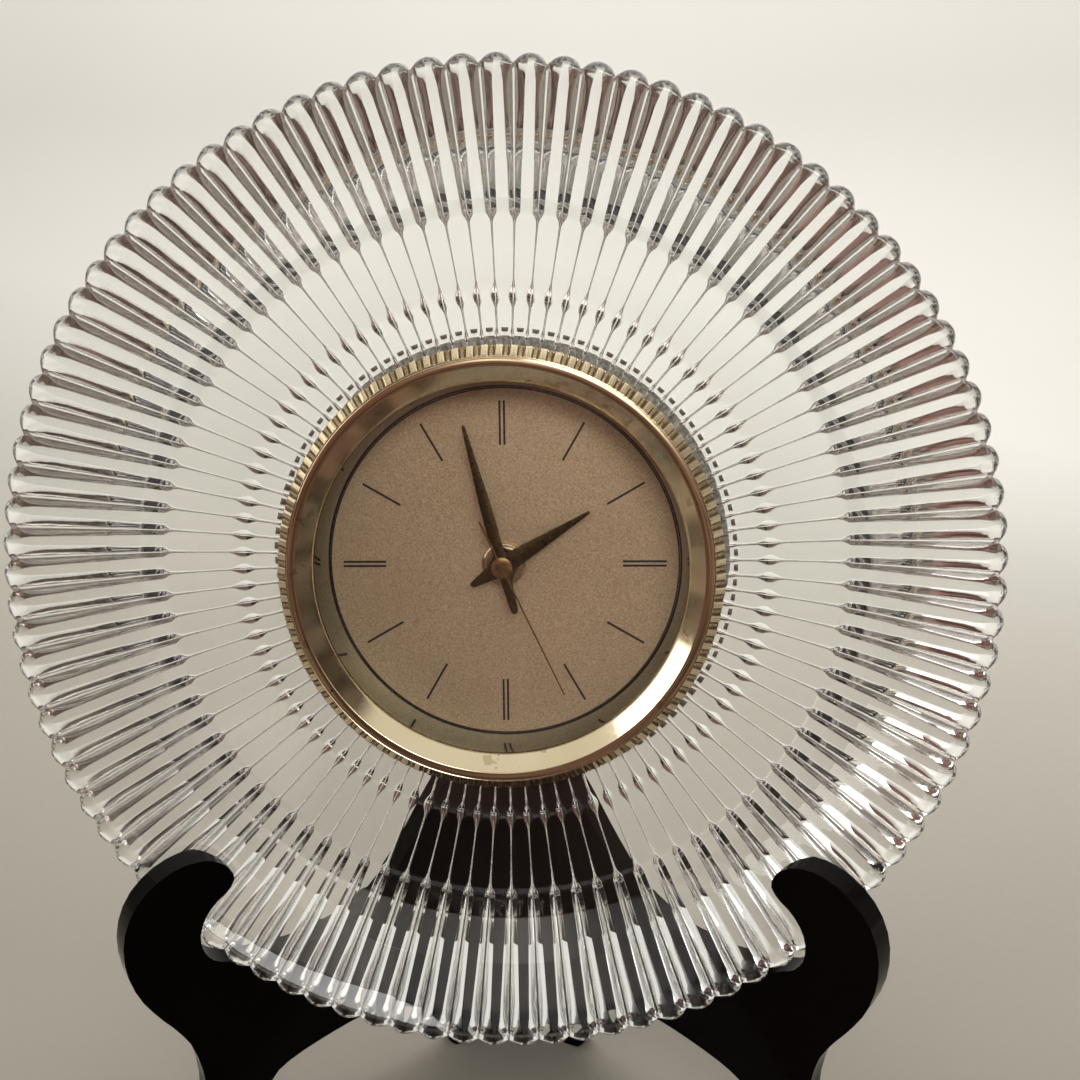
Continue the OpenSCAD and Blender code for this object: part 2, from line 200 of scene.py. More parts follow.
def bump(nt, height, p, strength=0.2, distance=0.0002, normal=None):
    b = add(nt, "ShaderNodeBump", Strength=strength, Distance=distance)
    nt.links.new(height, b.inputs["Height"])
    if normal:
        nt.links.new(normal, b.inputs["Normal"])
    nt.links.new(b.outputs["Normal"], p.inputs["Normal"])
    return b.outputs["Normal"]


def surface(name, dark, light, metallic=0.0, rough=(0.3, 0.4), scale=60, fine=600, strength=0.1, distance=0.0001,
            coat=0.0, coat_rough=0.05, stretch=(1, 1, 1), ior=1.5, specular=0.5, sheen=0.0):
    """A material with drifting colour, uneven roughness and a fine bump."""
    mat, nt, p = material(name)
    big = noise(nt, scale, 3, 0.55, stretch)
    small = noise(nt, fine, 4, 0.6, stretch)
    nt.links.new(ramp(nt, big, (0.3, dark), (0.7, light)), p.inputs["Base Color"])
    nt.links.new(span(nt, small, rough[0], rough[1]), p.inputs["Roughness"])
    p.inputs["Metallic"].default_value = metallic
    p.inputs["IOR"].default_value = ior
    p.inputs["Specular IOR Level"].default_value = specular
    p.inputs["Coat Weight"].default_value = coat
    p.inputs["Coat Roughness"].default_value = coat_rough
    p.inputs["Sheen Weight"].default_value = sheen
    bump(nt, small, p, strength, distance)
    return mat


def dress(node, mat):
    o = NODES[node] if isinstance(node, str) else node
    o.data.materials.clear()
    o.data.materials.append(mat)


# ---------------------------------------------------------------- materials
def crystal_material(name, tint, wave, rough):
    mat, nt, p = material(name)
    w = noise(nt, 45, 2, 0.4)
    s = noise(nt, 900, 2, 0.5)
    nt.links.new(ramp(nt, w, (0.3, tint[0]), (0.7, tint[1])), p.inputs["Base Color"])
    nt.links.new(span(nt, s, rough[0], rough[1]), p.inputs["Roughness"])
    p.inputs["Transmission Weight"].default_value = 1.0
    p.inputs["IOR"].default_value = 1.52
    bump(nt, w, p, 1.0, wave)
    return mat


M = {}
M["crystal"] = crystal_material("crystal", ((0.955, 0.965, 0.95), (0.985, 0.99, 0.98)), 0.00006, (0.0, 0.012))
M["lens"] = crystal_material("lens", ((0.985, 0.99, 0.985), (0.995, 0.998, 0.995)), 0.00001, (0.0, 0.006))
M["chrome"] = surface("chrome", (0.20, 0.225, 0.20), (0.25, 0.275, 0.245), 1.0, (0.05, 0.10), 30, 500, 0.03, 0.00005)
M["print"] = surface("print", (0.006, 0.006, 0.006), (0.014, 0.013, 0.012), 0.0, (0.35, 0.5), 200, 3000, 0.1, 0.00002)
M["black_plastic"] = surface("black_plastic", (0.016, 0.016, 0.017), (0.03, 0.03, 0.032), 0.0, (0.38, 0.55), 80, 1800, 0.25, 0.00006)
M["grey_plastic"] = surface("grey_plastic", (0.035, 0.035, 0.038), (0.055, 0.055, 0.06), 0.0, (0.4, 0.58), 80, 1500, 0.3, 0.00008)
M["white_plastic"] = surface("white_plastic", (0.72, 0.67, 0.55), (0.80, 0.76, 0.66), 0.0, (0.32, 0.45), 120, 1500, 0.15, 0.00004)
M["rubber"] = surface("rubber", (0.02, 0.02, 0.02), (0.04, 0.04, 0.038), 0.0, (0.6, 0.8), 100, 1200, 0.3, 0.00008)
M["steel"] = surface("steel", (0.52, 0.53, 0.55), (0.66, 0.67, 0.69), 1.0, (0.2, 0.34), 150, 1500, 0.1, 0.00003)
M["iron"] = surface("iron", (0.30, 0.31, 0.33), (0.42, 0.43, 0.45), 1.0, (0.35, 0.5), 150, 1500, 0.2, 0.00004)
M["board"] = surface("board", (0.02, 0.10, 0.04), (0.035, 0.16, 0.065), 0.0, (0.25, 0.4), 300, 2200, 0.2, 0.00004, coat=0.4)
M["chip"] = surface("chip", (0.01, 0.01, 0.011), (0.022, 0.022, 0.024), 0.0, (0.4, 0.55), 300, 3000, 0.2, 0.00003)
M["copper"] = surface("copper", (0.55, 0.22, 0.08), (0.72, 0.34, 0.15), 1.0, (0.22, 0.36), 200, 4000, 0.4, 0.00008, stretch=(12, 1, 1))
M["cell"] = surface("cell", (0.42, 0.30, 0.14), (0.55, 0.42, 0.22), 0.6, (0.25, 0.38), 90, 1500, 0.1, 0.00003)


def gold_material(name, dark, light, spots=0.0, rough=(0.08, 0.16)):
    """Polished champagne gold plate with faint haze, and dark tarnish specks where asked."""
    mat, nt, p = material(name)
    big = noise(nt, 35, 3, 0.5)
    small = noise(nt, 700, 3, 0.6)
    base = ramp(nt, big, (0.3, dark), (0.7, light))
    if spots:
        v = add(nt, "ShaderNodeTexVoronoi", Scale=260.0)
        nt.links.new(coords(nt), v.inputs["Vector"])
        speck = span(nt, v.outputs["Distance"], 1.0, 0.0, 0.03, 0.16)
        patch = span(nt, noise(nt, 28, 2, 0.5), 0.0, spots, 0.60, 0.72)
        both = add(nt, "ShaderNodeMath", operation="MULTIPLY")
        nt.links.new(speck, both.inputs[0])
        nt.links.new(patch, both.inputs[1])
        mix = add(nt, "ShaderNodeMix", data_type="RGBA")
        mix.inputs[7].default_value = (0.07, 0.04, 0.02, 1)
        nt.links.new(both.outputs[0], mix.inputs[0])
        nt.links.new(base, mix.inputs[6])
        base = mix.outputs[2]
        blot = add(nt, "ShaderNodeMix", data_type="RGBA")
        blot.inputs[7].default_value = (0.58, 0.46, 0.28, 1)
        nt.links.new(span(nt, noise(nt, 125, 3, 0.55), 0.0, 0.85, 0.655, 0.675), blot.inputs[0])
        nt.links.new(base, blot.inputs[6])
        base = blot.outputs[2]
    nt.links.new(base, p.inputs["Base Color"])
    nt.links.new(span(nt, small, rough[0], rough[1]), p.inputs["Roughness"])
    p.inputs["Metallic"].default_value = 1.0
    bump(nt, small, p, 0.02, 0.00001)
    return mat


M["gold"] = gold_material("gold", (0.75, 0.63, 0.41), (0.85, 0.735, 0.515), 0.85, (0.07, 0.14))
# darker copies of the gold for the bezel: painted shade for its gaps, and for its narrow teeth, which are also rougher
M["gold_gap_shade"] = gold_material("gold_gap_shade", (0.13, 0.085, 0.045), (0.23, 0.155, 0.085), 0.0, (0.30, 0.45))
M["gold_dull_shaded"] = gold_material("gold_dull_shaded", (0.36, 0.27, 0.155), (0.50, 0.39, 0.24), 0.0, (0.20, 0.32))
M["nut_gold"] = gold_material("nut_gold", (0.68, 0.55, 0.36), (0.76, 0.63, 0.43), 0.0, (0.10, 0.18))
M["hands"] = gold_material("hands", (0.095, 0.068, 0.034), (0.122, 0.088, 0.045), 0.0, (0.24, 0.32))
M["cap"] = gold_material("cap", (0.165, 0.14, 0.10), (0.21, 0.18, 0.13), 0.0, (0.09, 0.14))
M["second_gold"] = gold_material("second_gold", (0.46, 0.30, 0.15), (0.58, 0.40, 0.21), 0.0, (0.14, 0.24))


def dial_material():
    """Satin champagne rose metal paint with a fine sparkling grain."""
    mat, nt, p = material("dial")
    big = noise(nt, 22, 2, 0.5)
    grain = noise(nt, 1700, 2, 0.7)
    base = ramp(nt, grain, (0.36, (0.475, 0.347, 0.220)), (0.64, (0.69, 0.525, 0.348)))
    drift = add(nt, "ShaderNodeMix", data_type="RGBA", blend_type="MULTIPLY")
    drift.inputs[0].default_value = 1.0
    nt.links.new(base, drift.inputs[6])
    nt.links.new(ramp(nt, big, (0.3, (0.95, 0.94, 0.93)), (0.7, (1, 1, 1))), drift.inputs[7])
    nt.links.new(drift.outputs[2], p.inputs["Base Color"])
    p.inputs["Metallic"].default_value = 0.75
    nt.links.new(span(nt, grain, 0.33, 0.46), p.inputs["Roughness"])
    bump(nt, grain, p, 0.25, 0.00003)
    return mat


M["dial"] = dial_material()


def lacquer_material():
    """Gloss black lacquer over wood, slightly uneven, with a few specks of dust."""
    mat, nt, p = material("lacquer")
    big = noise(nt, 18, 3, 0.5)
    v = add(nt, "ShaderNodeTexVoronoi", Scale=220.0)
    nt.links.new(coords(nt), v.inputs["Vector"])
    speck = span(nt, v.outputs["Distance"], 1.0, 0.0, 0.02, 0.05)
    gate = span(nt, noise(nt, 90, 1, 0.5), 0.0, 1.0, 0.66, 0.70)
    both = add(nt, "ShaderNodeMath", operation="MULTIPLY")
    nt.links.new(speck, both.inputs[0])
    nt.links.new(gate, both.inputs[1])
    mix = add(nt, "ShaderNodeMix", data_type="RGBA")
    mix.inputs[7].default_value = (0.30, 0.27, 0.25, 1)
    nt.links.new(both.outputs[0], mix.inputs[0])
    nt.links.new(ramp(nt, big, (0.3, (0.0012, 0.0010, 0.0010)), (0.7, (0.0030, 0.0022, 0.0020))), mix.inputs[6])
    nt.links.new(mix.outputs[2], p.inputs["Base Color"])
    nt.links.new(span(nt, noise(nt, 260, 3, 0.6), 0.10, 0.20), p.inputs["Roughness"])
    p.inputs["Specular IOR Level"].default_value = 0.045
    bump(nt, noise(nt, 55, 3, 0.5, (1, 1, 3)), p, 0.25, 0.0004)
    return mat


M["lacquer"] = lacquer_material()

record = frame["record"]
for sub in record["subparts"]:
    dress(sub["node"], M.get(sub["material_slot"], M["steel"]))
dress("second_hand", M["second_gold"])
dress("centre_nut", M["nut_gold"])
M["felt"] = surface("felt", (0.045, 0.042, 0.036), (0.33, 0.31, 0.265), 0.0, (0.75, 0.95), 950, 2200, 0.6, 0.0002, sheen=0.3)
# painted reflection: an opaque dark brown for the pits in the crystal, where a dark reflection is seen
M["pit_painted_reflection"] = surface("pit_painted_reflection", (0.115, 0.085, 0.066), (0.185, 0.145, 0.115), 0.0, (0.7, 0.9), 700, 2500, 0.3, 0.00005)
dress("clamp_gasket", M["felt"])


# ---------------------------------------------------------------- the crystal plate
# One rib repeats 96 times. Every station along its section gives the crest, the
# depth and half-width of the groove beside it (share of the pitch), the
# direction that the groove is cut in, and how round the flanks are.
def crystal_plate():
    #      r      z      g     w     k     crown  nr    nz
    st = [(59.2, 16.40, 0.00, .250, 1.3, 0.00, 0.0, -1.0),
          (67.8, 15.90, 0.00, .250, 1.3, 0.00, 0.0, -1.0),
          (95.0, 13.05, 0.00, .250, 1.3, 0.00, 0.0, -1.0),
          (106.4, 11.87, 0.00, .250, 1.3, 0.00, 0.0, -1.0),
          (107.0, 11.74, 0.00, .250, 1.3, 0.00, 0.0, -1.0),
          (107.6, 11.52, 0.00, .250, 1.3, 0.00, 0.0, -1.0),
          (113.5, 9.24, 0.00, .260, 1.3, 0.00, 0.0, -1.0),
          (119.1, 7.08, 0.00, .280, 1.3, 0.00, -.2, -.98),
          (119.4, 6.95, 0.00, .280, 1.3, 0.00, -.2, -.98),
          (119.7, 6.81, 0.00, .280, 1.3, 0.00, -.2, -.98),
          (127.0, 3.35, 0.00, .330, 1.3, 0.00, .20, -.98),
          (131.0, 1.42, 0.00, .335, 1.30, 0.00, .50, -.87),
          (134.0, -0.10, 0.04, .345, 1.30, 0.00, .60, -.80),
          (136.2, -1.66, 0.15, .375, 1.3, 0.00, .70, -.71),
          (137.5, -2.42, 0.25, .400, 1.3, 0.00, .80, -.60),
          (138.6, -2.68, 0.60, .425, 1.35, 0.02, .88, -.47),
          (139.7, -2.34, 1.35, .445, 1.45, 0.03, .94, -.34),
          (140.7, -1.62, 2.40, .455, 1.6, 0.04, .98, -.20),
          (141.5, -0.50, 3.40, .46, 1.8, 0.05, 1.0, -.08),
          (142.0, 1.20, 4.05, .46, 2.0, 0.05, 1.0, .03),
          (141.8, 2.70, 4.05, .46, 2.0, 0.05, .98, .19),
          (141.3, 3.72, 4.05, .465, 1.7, 0.04, .90, .44),
          (140.5, 4.68, 3.90, .450, 1.30, 0.03, .74, .67),
          (139.3, 5.70, 3.62, .395, 1.08, 0.02, .62, .785),
          (137.4, 7.02, 3.45, .358, 1.05, 0.02, .60, .80),
          (134.0, 9.40, 3.35, .350, 1.06, 0.02, .60, .80),
          (130.0, 12.20, 3.12, .335, 1.05, 0.02, .57, .82),
          (119.7, 19.45, 2.53, .305, 1.05, 0.02, .57, .82),
          (119.1, 19.88, 2.47, .283, 1.05, 0.02, .57, .82),
          (113.0, 24.30, 2.14, .264, 1.05, 0.02, .57, .82),
          (106.3, 29.10, 1.84, .247, 1.05, 0.01, .56, .83),
          (105.5, 29.64, 1.62, .235, 1.10, 0.00, .50, .86),
          (104.8, 30.03, 1.20, .180, 1.15, 0.00, .42, .91),
          (104.0, 30.38, 0.74, .110, 1.20, 0.00, .36, .93),
          (102.8, 30.84, 0.46, .066, 1.30, 0.00, .35, .94),
          (95.0, 33.74, 0.30, .042, 1.30, 0.00, .35, .94),
          (87.0, 36.72, 0.36, .052, 1.30, 0.00, .35, .94),
          (85.6, 37.24, 0.66, .105, 1.20, 0.00, .34, .94),
          (84.5, 37.64, 1.05, .200, 1.15, 0.00, .31, .95),
          (83.6, 37.97, 1.40, .285, 1.15, 0.00, .27, .96),
          (82.8, 38.16, 1.55, .320, 1.15, 0.00, .22, .975),
          (81.9, 38.34, 1.50, .310, 1.15, 0.00, .18, .98),
          (81.0, 38.50, 1.22, .250, 1.15, 0.00, .16, .987),
          (80.1, 38.66, 0.98, .165, 1.18, 0.00, .16, .987),
          (79.0, 38.85, 0.50, .092, 1.30, 0.00, .16, .987),
          (74.2, 39.64, 0.46, .088, 1.30, 0.00, .16, .987),
          (73.15, 39.81, 0.54, .106, 1.30, 0.00, .15, .989),
          (73.0, 39.84, 0.57, .112, 1.30, 0.00, .15, .989),
          (72.52, 39.92, 0.64, .130, 1.30, 0.00, .14, .99),
          (72.28, 39.96, 0.69, .142, 1.30, 0.00, .14, .99),
          (71.8, 40.03, 0.79, .168, 1.27, 0.00, .14, .99),
          (71.65, 40.06, 0.82, .178, 1.26, 0.00, .14, .99),
          (70.5, 40.24, 1.10, .250, 1.20, 0.00, .12, .993),
          (69.6, 40.34, 1.10, .265, 1.20, 0.00, .08, .997),
          (68.7, 40.42, 0.80, .240, 1.20, 0.00, .02, 1.0),
          (67.7, 40.44, 0.00, .210, 1.30, 0.00, 0.0, 1.0),
          (59.2, 40.50, 0.00, .250, 1.30, 0.00, 0.0, 1.0)]
    st = np.array(st)
    U = [0.0, 0.12, 0.35, 0.65, 0.92, 1.0]
    V = [0.09, 0.40, 0.72]
    half = [("u", u) for u in U] + [("v", v) for v in V]
    # from the groove on the left over the crest to just before the groove on the right
    cols = [(-1, *h) for h in half] + [(0, "v", 1.0)] + [(1, *h) for h in half[:0:-1]]
    n_rib, n_st = 96, len(st)
    r, z, g, w, k, crown, nr, nz = st.T
    nn = np.hypot(nr, nz)
    nr, nz = nr / nn, nz / nn
    P, D = [], []
    for side, kind, t in cols:
        if kind == "u":
            p = 0.5 - w * t
            rise = (1 - (1 - t) ** k) ** (1 / k)
            d = crown + np.maximum(g - crown, 0) * (1 - rise)
        else:
            p = (0.5 - w) * (1 - t)
            d = crown * (1 - t) ** 2
        P.append(side * p)
        D.append(np.where(g > 0, d, 0))
    P, D = np.array(P), np.array(D)                     # [column, station]
    # a small dimple at the inner end of each rib, on its crest
    pitch = r * 2 * math.pi / n_rib
    away = np.hypot(((r - 72.4) / 0.74)[None], P * pitch[None] / 1.12)
    D = D + np.where((z > 30)[None] & (D < 0.05), 0.90 * np.clip(1 - away, 0, 1), 0)
    crest = math.radians(-92.72) + np.arange(n_rib) * 2 * math.pi / n_rib
    ang = crest[:, None, None] + P[None] * 2 * math.pi / n_rib
    rad = np.broadcast_to(r - D * nr, ang.shape)
    dep = np.broadcast_to(z - D * nz, ang.shape)
    pts = np.stack([rad * np.cos(ang), rad * np.sin(ang), dep], -1).reshape(n_rib * len(cols), n_st, 3)
    o = torus_grid("crystal_glass", pts)
    # painted reflection: the pits on the ribs' crests take an opaque dark brown, standing in for the dark reflection
    # seen in them
    centre = np.array([f.center for f in o.data.polygons]) * 1000
    Y, Z = centre[:, 1] - BASE_Y, centre[:, 2] - CENTRE_H
    x, y, dep = centre[:, 0], -(Z * CL + Y * SL), Y * CL - Z * SL
    rr, aa = np.hypot(x, y), (np.arctan2(y, x) - crest[0] + math.pi / n_rib) % (2 * math.pi / n_rib) - math.pi / n_rib
    pit_painted_reflection = (dep > 35) & (np.hypot((rr - 72.4) / 0.74, rr * aa / 1.12) < 0.86)
    o.data.materials.append(M["crystal"])
    o.data.materials.append(M["pit_painted_reflection"])
    o.data.polygons.foreach_set("material_index", pit_painted_reflection.astype(np.int32))
    return o


glass = crystal_plate()
glass.visible_shadow = False
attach(glass, "clock")
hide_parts("crystal_plate")
NODES["dial_glass"].visible_shadow = False


# ---------------------------------------------------------------- the bezel, reeded outside
def bezel():
    # 96 pairs of a broad and a narrow flat-topped tooth: where each column stands along a pair, and its share of the depth
    tooth = [(.01, 0), (.22, 0), (.43, 0), (.46, .10), (.52, 1), (.58, .34), (.61, .26), (.70, .20), (.79, .16), (.82, .26), (.885, 1), (.965, .10)]
    a = np.array([(i + p) * 2 * math.pi / 96 for i in range(96) for p, _ in tooth])
    cut = np.array([c for i in range(96) for _, c in tooth])
    # stations: outer edge, up the toothed cone, a fine groove, the polished band, down the polished cone, back
    S = [(58.0, 15.4, 0), (64.5, 15.4, 0), (66.35, 15.4, 0), (66.55, 15.3, .4), (66.6, 15.12, .8), (66.46, 14.92, 1),
         (66.3, 14.76, 1), (65.4, 13.88, 1), (64.5, 13.0, 1), (63.72, 12.22, 1), (63.52, 12.03, .8), (63.38, 11.90, .2), (63.28, 11.83, 0),
         (63.16, 11.84, 0), (63.06, 11.95, 0), (62.94, 11.95, 0), (62.88, 11.80, 0), (62.84, 11.50, 0), (62.76, 11.36, 0),
         (62.60, 11.30, 0), (61.7, 11.26, 0), (60.8, 11.28, 0), (60.56, 11.31, 0), (60.42, 11.38, 0), (60.28, 11.51, 0),
         (60.0, 11.78, 0), (59.0, 12.72, 0), (58.0, 13.67, 0), (57.0, 14.62, 0), (56.3, 15.29, 0), (56.1, 15.50, 0), (56.0, 15.72, 0),
         (56.0, 16.0, 0), (57.0, 16.0, 0), (58.0, 16.0, 0)]
    S = np.array(S)
    d = 0.72 * cut[:, None] * S[None, :, 2]
    rr = S[None, :, 0] - d * 0.70
    zz = S[None, :, 1] + d * 0.71
    pts = np.stack([rr * np.cos(a)[:, None], rr * np.sin(a)[:, None], zz], -1)
    o = torus_grid("bezel_reeded", pts)
    # painted shade darkens the gaps; the narrow teeth are rougher than the broad ones and carry painted shade too
    for k, (name, keep) in enumerate((("gold", None), ("gold_gap_shade", lambda t: .46 <= t <= .58 or t >= .82), ("gold_dull_shaded", lambda t: .58 < t < .82))):
        o.data.materials.append(M[name])
        if keep:
            n, m = len(tooth), len(S)
            mid = [(tooth[j][0] + (tooth[(j + 1) % n][0] if j < n - 1 else 1.0)) / 2 for j in range(n)]
            for i in range(96 * n):
                if keep(mid[i % n]):
                    for j in range(m - 1):
                        if S[j, 2] > 0.3 and S[j + 1, 2] > 0.3:
                            o.data.polygons[i * m + j].material_index = k
    return o


bz = bezel()
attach(bz, "clock")
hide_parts("bezel")

# ---------------------------------------------------------------- the mirror wall and the centre nut, as fine lathes
wall = lathe("reflector_ring", fillet([(56.0, 17.75, .05), (57.1, 17.75, .05), (57.1, 31.85, .02), (54.5, 31.85, .02)]), 384)
dress(wall, M["chrome"])
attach(wall, "clock")
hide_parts("reflector_wall")

nut = lathe("centre_nut_domed", fillet([(4.05, 29.9, .15), (5.4, 29.9, .5), (6.5, 30.35, .7), (7.0, 31.1, .3), (7.0, 31.88, .1), (4.05, 31.88, .1)], steps=5), 128)
dress(nut, M["nut_gold"])
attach(nut, "clock")
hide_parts("centre_nut")


# ---------------------------------------------------------------- hands: bevelled blades with rounded ends, and a domed hub
def hand(name, at, z0, thick, blades, hub, dome, hole, under=None):
    """blades: lists of (distance from the axis, half-width); hub, hole: radii; dome: how far the hub stands forward."""
    verts, faces = [], []
    ca, sa = math.cos(math.radians(at)), math.sin(math.radians(at))

    def put(u, v, z):                                    # u across the hand, v along it
        verts.append((u * ca + v * sa, u * sa - v * ca, z))

    section = [(-1, 1.0), (-1, 0.34), (-.85, 0.07), (0, 0.0), (.85, 0.07), (1, 0.34), (1, 1.0)]
    for rows in blades:
        sgn = 1 if rows[-1][0] > 0 else -1
        end, hw = rows[-1]
        stations = [r for r in rows[:-1]]
        slope = (rows[-1][1] - rows[-2][1]) / abs(rows[-1][0] - rows[-2][0])
        for t in (0.0, 0.35, 0.62, 0.82, 0.94, 0.995):   # round the end off over its own half-width
            v = abs(end) - hw * (1 - t)
            h = (hw - slope * hw * (1 - t)) * math.sqrt(1 - t * t)
            stations.append((sgn * v, max(h, 0.02)))
        n0, m = len(verts), len(section)
        for v, h in stations:
            for u, q in section:
                put(u * h * sgn, v, z0 + q * thick)
        for i in range(len(stations) - 1):
            for j in range(m):
                k = (j + 1) % m
                faces.append((n0 + i * m + j, n0 + i * m + k, n0 + (i + 1) * m + k, n0 + (i + 1) * m + j))
        faces.append([n0 + j for j in range(m)])
        faces.append([n0 + (len(stations) - 1) * m + j for j in range(m - 1, -1, -1)])
    rear = z0 + (thick + 0.25 if under is None else under)
    blade_faces = len(faces)
    ring = [(hole, rear), (hub, rear), (hub, z0 + 0.05), (hub - 0.10, z0 - 0.06),
            (hub * .80, z0 - dome * .55), (hub * .60, z0 - dome * .85), (max(hole, hub * .3), z0 - dome), (hole, z0 - dome)]
    if hole < 0.01:
        ring = [(0.001, rear)] + ring[1:-1] + [(0.001, z0 - dome)]
    ring = [q for q, nxt in zip(ring, ring[1:] + ring[:1]) if math.hypot(q[0] - nxt[0], q[1] - nxt[1]) > 1e-6]
    n0, m, c = len(verts), len(ring), 64
    for i in range(c):
        t = 2 * math.pi * i / c
        for r, z in ring:
            put(r * math.cos(t), r * math.sin(t), z)
    for i in range(c):
        for j in range(m):
            k, q = (j + 1) % m, (i + 1) % c
            faces.append((n0 + i * m + j, n0 + i * m + k, n0 + q * m + k, n0 + q * m + j))
    o = new_object(name, place(np.array(verts)), faces)
    me = o.data
    for f in me.polygons:
        f.material_index = 1 if f.index >= blade_faces else 0
    me.attributes.new("sharp_edge", "BOOLEAN", "EDGE")
    bm = bmesh.new()
    bm.from_mesh(me)
    for e in bm.edges:
        e.smooth = len(e.link_faces) == 2 and e.calc_face_angle(0) < math.radians(24)
    bm.to_mesh(me)
    bm.free()
    return o


hour = hand("hour_hand_bevelled", 58.1, 27.4, 0.42, [[(2.45, 2.78), (4.0, 2.76), (31.5, 0.46)], [(-2.45, 2.6), (-5.0, 2.15), (-11.8, 0.80)]], 3.3, 0.10, 2.2)
minute = hand("minute_hand_bevelled", 345.3, 25.4, 0.42, [[(1.7, 1.80), (12.0, 1.84), (20.0, 1.74), (44.6, 0.50)], [(-1.7, 1.78), (-6.0, 1.62), (-15.1, 1.04)]], 2.6, 0.10, 1.36)
second = hand("second_hand_fine", 154.7, 23.6, 0.28, [[(0.8, 0.34), (6.0, 0.28), (43.9, 0.17)], [(-0.8, 0.32), (-15.8, 0.28)]], 3.3, 0.30, 0.0, 0.12)
for o, node, body, mat in ((hour, "hour_hand", "hours", "hands"), (minute, "minute_hand", "minutes", "hands"), (second, "second_hand", "seconds", "second_gold")):
    dress(o, M[mat])
    o.data.materials.append(M["cap"] if node == "second_hand" else M[mat])
    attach(o, body)
    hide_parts(node)


# ---------------------------------------------------------------- stand boards with rounded, lacquered edges
def board(node, name):
    src = NODES[node]
    me = src.data.copy()
    me.name = name
    o = bpy.data.objects.new(name, me)
    bpy.context.scene.collection.objects.link(o)
    bm = bmesh.new()
    bm.from_mesh(me)
    bmesh.ops.remove_doubles(bm, verts=bm.verts, dist=2e-6)
    bmesh.ops.dissolve_limit(bm, angle_limit=math.radians(0.6), verts=bm.verts, edges=bm.edges)
    for f in bm.faces:
        f.smooth = True
    bm.to_mesh(me)
    bm.free()
    for attr in [a.name for a in me.attributes if a.name == "custom_normal"]:
        me.attributes.remove(me.attributes[attr])
    bev = o.modifiers.new("bevel", "BEVEL")
    bev.width = 0.0011
    bev.segments = 3
    bev.limit_method = "ANGLE"
    bev.angle_limit = math.radians(38)
    bev.harden_normals = False
    wn = o.modifiers.new("normals", "WEIGHTED_NORMAL")
    wn.keep_sharp = False
    return o


for side in ("left", "right"):
    b = board("stand_" + side, "stand_board_" + side)
    dress(b, M["lacquer"])
    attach(b, "clock")
    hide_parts("stand_" + side)

# ---------------------------------------------------------------- pale sweep behind and under the clock, with painted shade
def sweep():
    r, y1, top = 0.42, 0.95, 3.2
    prof = [(0.0, -0.026), (-0.042, -0.026), (-0.048, -0.024), (-0.051, -0.018), (-0.051, -0.009), (-0.0495, -0.004), (-0.047, -0.001),
            (-0.0435, 0.0), (-0.03, 0.0), (0.0, 0.0), (0.1, 0.0), (0.2, 0.0), (y1 - r, 0.0)]
    prof += [(y1 - r + r * math.sin(t), r - r * math.cos(t)) for t in np.linspace(0, math.pi / 2, 25)[1:]]
    prof += [(y1, 1.2), (y1, top)]
    xs = np.linspace(-3, 3, 13)
    verts = [(x, y, z - 0.0002) for x in xs for y, z in prof]
    n = len(prof)
    faces = [(i * n + j, (i + 1) * n + j, (i + 1) * n + j + 1, i * n + j + 1) for i in range(len(xs) - 1) for j in range(n - 1)]
    o = new_object("sweep", verts, faces)
    mat, nt, p = material("sweep")
    tc = add(nt, "ShaderNodeTexCoord")
    tone = add(nt, "ShaderNodeMix", data_type="RGBA")
    # painted shade: the colour darkens towards the front, the bottom and the left, standing in for light that falls off
    # there
    far = add(nt, "ShaderNodeVectorMath", operation="DOT_PRODUCT")
    nt.links.new(tc.outputs["Object"], far.inputs[0])
    far.inputs[1].default_value = (0.34, 1.0, 1.2)
    painted_falloff = ramp(nt, span(nt, far.outputs["Value"], 0.0, 1.0, 0.0, 1.5), (0.0, (0.26, 0.24, 0.205)), (0.27, (0.37, 0.35, 0.31)),
                (0.47, (0.49, 0.48, 0.44)), (0.67, (0.68, 0.675, 0.64)), (0.95, (0.745, 0.74, 0.705)))
    # painted light: the floor is paler well to the right, where the gold teeth mirror it
    sep = add(nt, "ShaderNodeSeparateXYZ")
    nt.links.new(tc.outputs["Object"], sep.inputs[0])
    side = add(nt, "ShaderNodeMath", operation="MULTIPLY")
    nt.links.new(span(nt, sep.outputs["X"], 0.0, 1.0, 0.60, 0.85), side.inputs[0])
    nt.links.new(span(nt, sep.outputs["Y"], 1.0, 0.0, 0.35, 0.55), side.inputs[1])
    right = add(nt, "ShaderNodeMix", data_type="RGBA")
    right.inputs[7].default_value = (0.78, 0.77, 0.72, 1)
    nt.links.new(side.outputs[0], right.inputs[0])
    nt.links.new(painted_falloff, right.inputs[6])
    tone.blend_type = "MULTIPLY"
    tone.inputs[0].default_value = 1.0
    nt.links.new(right.outputs[2], tone.inputs[6])
    nt.links.new(ramp(nt, noise(nt, 3, 3, 0.5), (0.3, (0.97, 0.97, 0.97)), (0.7, (1, 1, 1))), tone.inputs[7])
    nt.links.new(tone.outputs[2], p.inputs["Base Color"])
    fine = noise(nt, 300, 3, 0.5)
    nt.links.new(span(nt, fine, 0.6, 0.75), p.inputs["Roughness"])
    p.inputs["Specular IOR Level"].default_value = 0.2
    bump(nt, fine, p, 0.05, 0.0002)
    dress(o, mat)


sweep()


# ---------------------------------------------------------------- soft studio light
def area(name, size, power, at, to, colour=(1, 1, 1)):
    d = bpy.data.lights.new(name, "AREA")
    d.shape = "RECTANGLE"
    d.size, d.size_y = size
    d.energy = power
    d.color = colour
    o = bpy.data.objects.new(name, d)
    bpy.context.scene.collection.objects.link(o)
    o.location = at
    o.rotation_mode = "QUATERNION"
    o.rotation_quaternion = (Vector(to) - Vector(at)).to_track_quat("-Z", "Y")
    o.visible_camera = False
    return o


